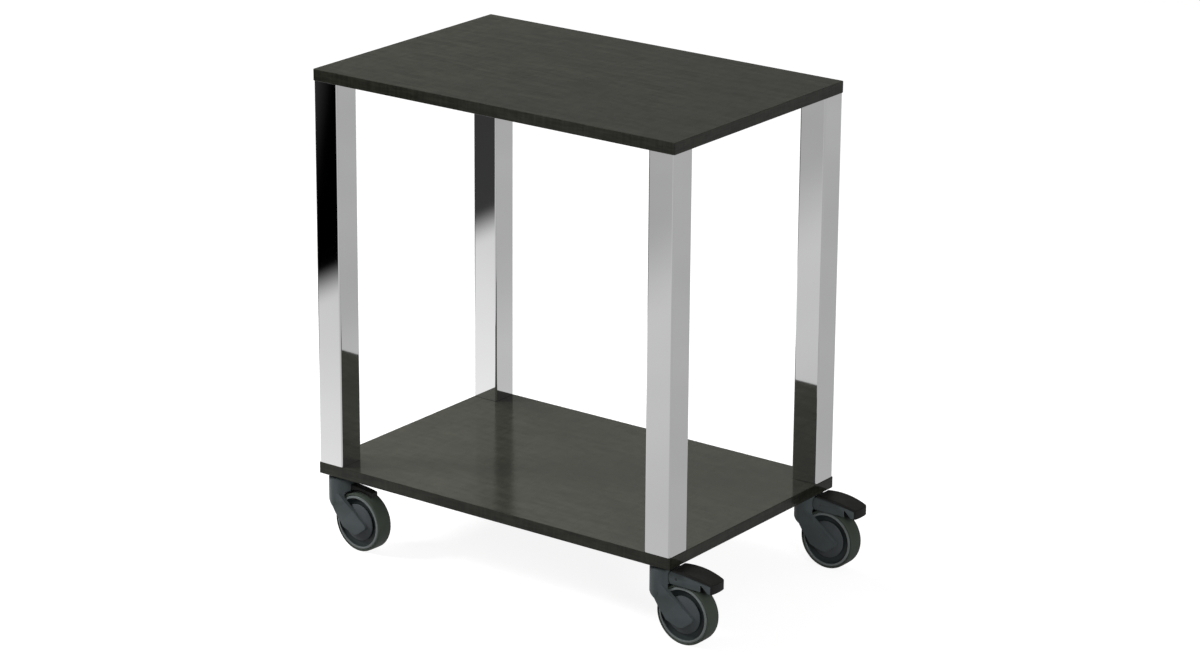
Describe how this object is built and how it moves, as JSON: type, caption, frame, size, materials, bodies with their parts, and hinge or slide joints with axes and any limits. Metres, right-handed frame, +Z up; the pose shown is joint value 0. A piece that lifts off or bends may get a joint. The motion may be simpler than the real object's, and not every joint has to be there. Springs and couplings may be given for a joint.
{
  "type": "serving trolley",
  "caption": "Serving trolley with dark wood-look boards on square chrome legs and swivel castors, braked by foot pedals at one end.",
  "frame": {"origin": "on the floor, under the middle of the boards", "axes": "+Z up; +X along the boards' long side, towards the end with the braked castors; -Y is the front, the long side that faces the viewer in the picture"},
  "size_m": [0.8185, 0.48, 0.847],
  "materials": {
    "board_laminate": "semi-gloss dark wood-grain laminate",
    "edging": "satin dark edging strip",
    "leg_chrome": "polished chrome",
    "fork_plastic": "satin grey moulding",
    "wheel_plastic": "dark grey moulding with a bright rim",
    "guard_plastic": "satin grey",
    "tyre_rubber": "matt dark grey rubber",
    "pad_plastic": "fine-grained black",
    "plug_plastic": "plain black moulding",
    "zinc_steel": "bright zinc plating"
  },
  "bodies": {
    "frame": {"top_board": "board_laminate", "top_edging": "edging", "lower_board": "board_laminate", "lower_edging": "edging", "head_plug_screws": "zinc_steel", "stem_nuts": "zinc_steel", "front_right_leg": "leg_chrome", "front_right_head_plug": "plug_plastic", "front_right_foot_plug": "plug_plastic", "front_right_stem": "zinc_steel", "back_right_leg": "leg_chrome", "back_right_head_plug": "plug_plastic", "back_right_foot_plug": "plug_plastic", "back_right_stem": "zinc_steel", "front_left_leg": "leg_chrome", "front_left_head_plug": "plug_plastic", "front_left_foot_plug": "plug_plastic", "front_left_stem": "zinc_steel", "back_left_leg": "leg_chrome", "back_left_head_plug": "plug_plastic", "back_left_foot_plug": "plug_plastic", "back_left_stem": "zinc_steel"},
    "swivel_front_right": {"front_right_swivel_ring": "zinc_steel", "front_right_fork": "fork_plastic", "front_right_axle": "zinc_steel", "front_right_front_guard": "guard_plastic", "front_right_back_guard": "guard_plastic", "front_right_pedal_pin": "zinc_steel"},
    "wheel_front_right": {"front_right_wheel": "wheel_plastic", "front_right_tyre": "tyre_rubber"},
    "pedal_front_right": {"front_right_pedal": "fork_plastic", "front_right_pedal_pad": "pad_plastic"},
    "swivel_back_right": {"back_right_swivel_ring": "zinc_steel", "back_right_fork": "fork_plastic", "back_right_axle": "zinc_steel", "back_right_front_guard": "guard_plastic", "back_right_back_guard": "guard_plastic", "back_right_pedal_pin": "zinc_steel"},
    "wheel_back_right": {"back_right_wheel": "wheel_plastic", "back_right_tyre": "tyre_rubber"},
    "pedal_back_right": {"back_right_pedal": "fork_plastic", "back_right_pedal_pad": "pad_plastic"},
    "swivel_front_left": {"front_left_swivel_ring": "zinc_steel", "front_left_fork": "fork_plastic", "front_left_axle": "zinc_steel", "front_left_front_guard": "guard_plastic", "front_left_back_guard": "guard_plastic", "front_left_hood": "pad_plastic"},
    "wheel_front_left": {"front_left_wheel": "wheel_plastic", "front_left_tyre": "tyre_rubber"},
    "swivel_back_left": {"back_left_swivel_ring": "zinc_steel", "back_left_fork": "fork_plastic", "back_left_axle": "zinc_steel", "back_left_front_guard": "guard_plastic", "back_left_back_guard": "guard_plastic", "back_left_hood": "pad_plastic"},
    "wheel_back_left": {"back_left_wheel": "wheel_plastic", "back_left_tyre": "tyre_rubber"}
  },
  "joints": [
    {"name": "front_right_swivel", "type": "hinge", "parent": "frame", "child": "swivel_front_right", "pos_m": [0.341, -0.211, 0.13], "axis": [0, 0, 1], "continuous": true},
    {"name": "front_right_wheel_spin", "type": "hinge", "parent": "swivel_front_right", "child": "wheel_front_right", "pos_m": [0.388, -0.211, 0.052], "axis": [0, 1, 0], "continuous": true},
    {"name": "front_right_brake", "type": "hinge", "parent": "swivel_front_right", "child": "pedal_front_right", "pos_m": [0.376, -0.211, 0.113], "axis": [0, 1, 0], "range_deg": [0, 12]},
    {"name": "back_right_swivel", "type": "hinge", "parent": "frame", "child": "swivel_back_right", "pos_m": [0.341, 0.211, 0.13], "axis": [0, 0, 1], "continuous": true},
    {"name": "back_right_wheel_spin", "type": "hinge", "parent": "swivel_back_right", "child": "wheel_back_right", "pos_m": [0.388, 0.211, 0.052], "axis": [0, 1, 0], "continuous": true},
    {"name": "back_right_brake", "type": "hinge", "parent": "swivel_back_right", "child": "pedal_back_right", "pos_m": [0.376, 0.211, 0.113], "axis": [0, 1, 0], "range_deg": [0, 12]},
    {"name": "front_left_swivel", "type": "hinge", "parent": "frame", "child": "swivel_front_left", "pos_m": [-0.341, -0.211, 0.13], "axis": [0, 0, 1], "continuous": true},
    {"name": "front_left_wheel_spin", "type": "hinge", "parent": "swivel_front_left", "child": "wheel_front_left", "pos_m": [-0.29411, -0.21428, 0.052], "axis": [0.0698, 0.9976, 0], "continuous": true},
    {"name": "back_left_swivel", "type": "hinge", "parent": "frame", "child": "swivel_back_left", "pos_m": [-0.341, 0.211, 0.13], "axis": [0, 0, 1], "continuous": true},
    {"name": "back_left_wheel_spin", "type": "hinge", "parent": "swivel_back_left", "child": "wheel_back_left", "pos_m": [-0.294, 0.211, 0.052], "axis": [0, 1, 0], "continuous": true}
  ]
}
